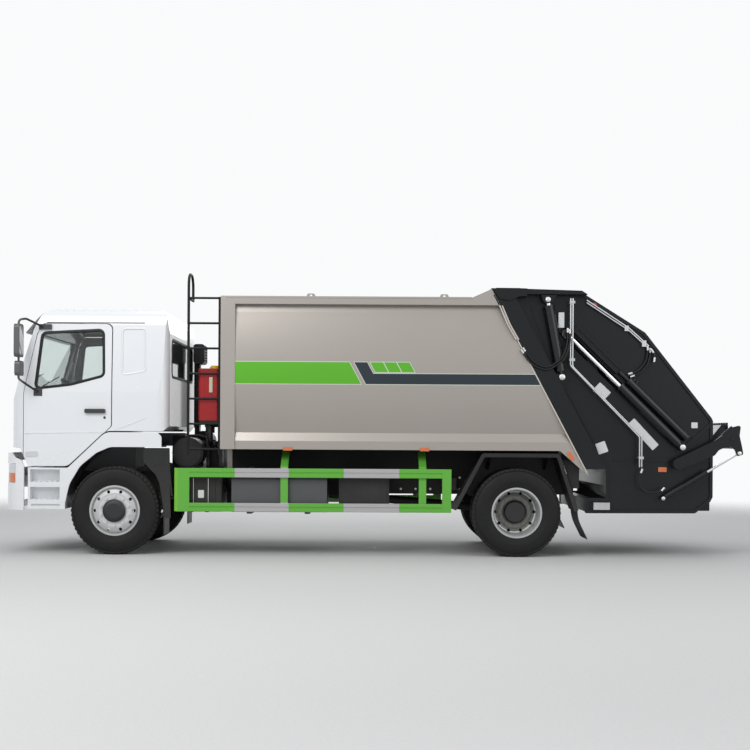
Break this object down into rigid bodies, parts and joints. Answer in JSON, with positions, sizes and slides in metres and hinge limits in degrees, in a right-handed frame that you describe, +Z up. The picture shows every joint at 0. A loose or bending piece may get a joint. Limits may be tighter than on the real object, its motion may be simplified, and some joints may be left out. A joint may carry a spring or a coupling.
{
  "type": "rear-loading garbage truck",
  "caption": "Cab-over rear-loading compactor truck with a convex container, lifting tailgate hopper, sliding packer, bin lifter and tilting cab.",
  "frame": {"origin": "on the ground, within 30 mm of the centre of the bounding box and on the centre plane", "axes": "+X to the rear, +Y to the side away from the driver, +Z up"},
  "size_m": [8.6258, 3.01, 3.317],
  "materials": {
    "black_paint": "satin",
    "white_paint": "gloss",
    "container_paint": "metallic gloss",
    "hopper_paint": "gloss",
    "guard_paint": "gloss",
    "red_paint": "gloss",
    "jack_paint": "gloss",
    "jack_chrome": "polished",
    "spring_steel": "rough",
    "cast_block": "rough",
    "tank_metal": "brushed",
    "rim_paint": "satin",
    "pipe_metal": "satin",
    "tyre_rubber": "matt",
    "black_plastic": "matt",
    "dark_plastic": "matt",
    "cab_plastic": "satin",
    "seat_cloth": "woven",
    "lamp_glass": "clear",
    "amber_lens": "gloss",
    "red_lens": "gloss",
    "cab_glazing": "tinted"
  },
  "bodies": {
    "chassis": {"frame": "black_paint", "front_axle": "black_paint", "rear_axle": "black_paint", "springs": "spring_steel", "propshaft": "black_paint", "engine_block": "cast_block", "bumper": "white_paint", "headlamps": "lamp_glass", "steps_and_fenders": "white_paint", "mudguards": "black_plastic", "side_guards": "guard_paint", "side_lockers": "black_plastic", "fuel_tank": "tank_metal", "air_tanks_and_silencer": "black_paint", "oil_tank": "red_paint", "ladder": "black_paint", "air_intake": "black_plastic", "container_floor": "container_paint", "container_front": "container_paint", "container_sides": "container_paint", "container_roof": "container_paint", "rear_frame": "hopper_paint", "marker_lamps": "amber_lens"},
    "cab": {"cab_shell": "white_paint", "cab_glass": "cab_glazing", "cab_trim": "cab_plastic", "dashboard": "dark_plastic", "seats": "seat_cloth"},
    "hopper": {"hopper_sides": "hopper_paint", "hopper_cover": "hopper_paint", "hopper_tub": "hopper_paint", "hopper_pipes": "pipe_metal", "tail_lamps": "red_lens", "slide_barrels": "jack_paint"},
    "packer": {"slide_plate": "hopper_paint", "slide_rods": "jack_chrome"},
    "blade": {"blade": "hopper_paint"},
    "ejector": {"ejector": "hopper_paint"},
    "lift_barrels": {"lift_barrels": "jack_paint"},
    "lift_rods": {"lift_rods": "jack_chrome"},
    "lifter_arms": {"lifter_arms": "hopper_paint"},
    "lifter_barrels": {"lifter_barrels": "jack_paint"},
    "lifter_rods": {"lifter_rods": "jack_chrome"},
    "door_left": {"door_left": "white_paint", "door_glass_left": "cab_glazing", "door_fittings_left": "black_plastic"},
    "knuckle_left": {"knuckle_left": "black_paint"},
    "front_wheel_left": {"front_tyre_left": "tyre_rubber", "front_rim_left": "rim_paint"},
    "rear_wheel_left": {"rear_tyres_left": "tyre_rubber", "rear_rims_left": "rim_paint"},
    "door_right": {"door_right": "white_paint", "door_glass_right": "cab_glazing", "door_fittings_right": "black_plastic"},
    "knuckle_right": {"knuckle_right": "black_paint"},
    "front_wheel_right": {"front_tyre_right": "tyre_rubber", "front_rim_right": "rim_paint"},
    "rear_wheel_right": {"rear_tyres_right": "tyre_rubber", "rear_rims_right": "rim_paint"}
  },
  "joints": [
    {"name": "steer_left", "type": "hinge", "parent": "chassis", "child": "knuckle_left", "pos_m": [-3.04, -0.98, 0.515], "axis": [0, 0, 1], "range_deg": [-36, 36]},
    {"name": "front_wheel_spin_left", "type": "hinge", "parent": "knuckle_left", "child": "front_wheel_left", "pos_m": [-3.04, -1.045, 0.515], "axis": [0, 1, 0], "continuous": true},
    {"name": "rear_wheel_spin_left", "type": "hinge", "parent": "chassis", "child": "rear_wheel_left", "pos_m": [1.66, -0.922, 0.515], "axis": [0, 1, 0], "continuous": true},
    {"name": "steer_right", "type": "hinge", "parent": "chassis", "child": "knuckle_right", "pos_m": [-3.04, 0.98, 0.515], "axis": [0, 0, 1], "range_deg": [-36, 36]},
    {"name": "front_wheel_spin_right", "type": "hinge", "parent": "knuckle_right", "child": "front_wheel_right", "pos_m": [-3.04, 1.045, 0.515], "axis": [0, 1, 0], "continuous": true},
    {"name": "rear_wheel_spin_right", "type": "hinge", "parent": "chassis", "child": "rear_wheel_right", "pos_m": [1.66, 0.922, 0.515], "axis": [0, 1, 0], "continuous": true},
    {"name": "cab_tilt", "type": "hinge", "parent": "chassis", "child": "cab", "pos_m": [-4.23, 0, 1.02], "axis": [0, -1, 0], "range_deg": [0, 45]},
    {"name": "door_swing_left", "type": "hinge", "parent": "cab", "child": "door_left", "pos_m": [-4.112, -1.172, 1.8], "axis": [0, 0, -1], "range_deg": [0, 70]},
    {"name": "door_swing_right", "type": "hinge", "parent": "cab", "child": "door_right", "pos_m": [-4.112, 1.172, 1.8], "axis": [0, 0, 1], "range_deg": [0, 70]},
    {"name": "hopper_lift", "type": "hinge", "parent": "chassis", "child": "hopper", "pos_m": [1.503, 0, 3.088], "axis": [0, -1, 0], "range_deg": [0, 80]},
    {"name": "lift_barrel_swing", "type": "hinge", "parent": "chassis", "child": "lift_barrels", "pos_m": [2.178, 0, 2.103], "axis": [0, -1, 0], "range_deg": [-2, 12]},
    {"name": "lift_rod_slide", "type": "slide", "parent": "lift_barrels", "child": "lift_rods", "axis": [-0.1838, 0, 0.983], "range_m": [0, 0.68]},
    {"name": "packer_slide", "type": "slide", "parent": "hopper", "child": "packer", "axis": [0.7166, 0, -0.6975], "range_m": [0, 0.8]},
    {"name": "blade_swing", "type": "hinge", "parent": "packer", "child": "blade", "pos_m": [2.675, 0, 1.846], "axis": [0, -1, 0], "range_deg": [0, 75]},
    {"name": "ejector_slide", "type": "slide", "parent": "chassis", "child": "ejector", "axis": [1, 0, 0], "range_m": [0, 2.75]},
    {"name": "lifter_lift", "type": "hinge", "parent": "hopper", "child": "lifter_arms", "pos_m": [3.533, 0, 1.1], "axis": [0, -1, 0], "range_deg": [-30, 45]},
    {"name": "lifter_barrel_swing", "type": "hinge", "parent": "hopper", "child": "lifter_barrels", "pos_m": [3.362, 0, 0.695], "axis": [0, -1, 0], "range_deg": [-25, 35]},
    {"name": "lifter_rod_slide", "type": "slide", "parent": "lifter_barrels", "child": "lifter_rods", "axis": [0.8571, 0, 0.5152], "range_m": [-0.14, 0.19]}
  ],
  "couplings": [
    {"joint": "steer_right", "follows": "steer_left", "ratio": 1},
    {"joint": "lift_barrel_swing", "follows": "hopper_lift", "ratio": 0.075},
    {"joint": "lift_rod_slide", "follows": "hopper_lift", "m_per_rad": 0.47},
    {"joint": "lifter_barrel_swing", "follows": "lifter_lift", "ratio": 0.64},
    {"joint": "lifter_rod_slide", "follows": "lifter_lift", "m_per_rad": 0.225}
  ]
}
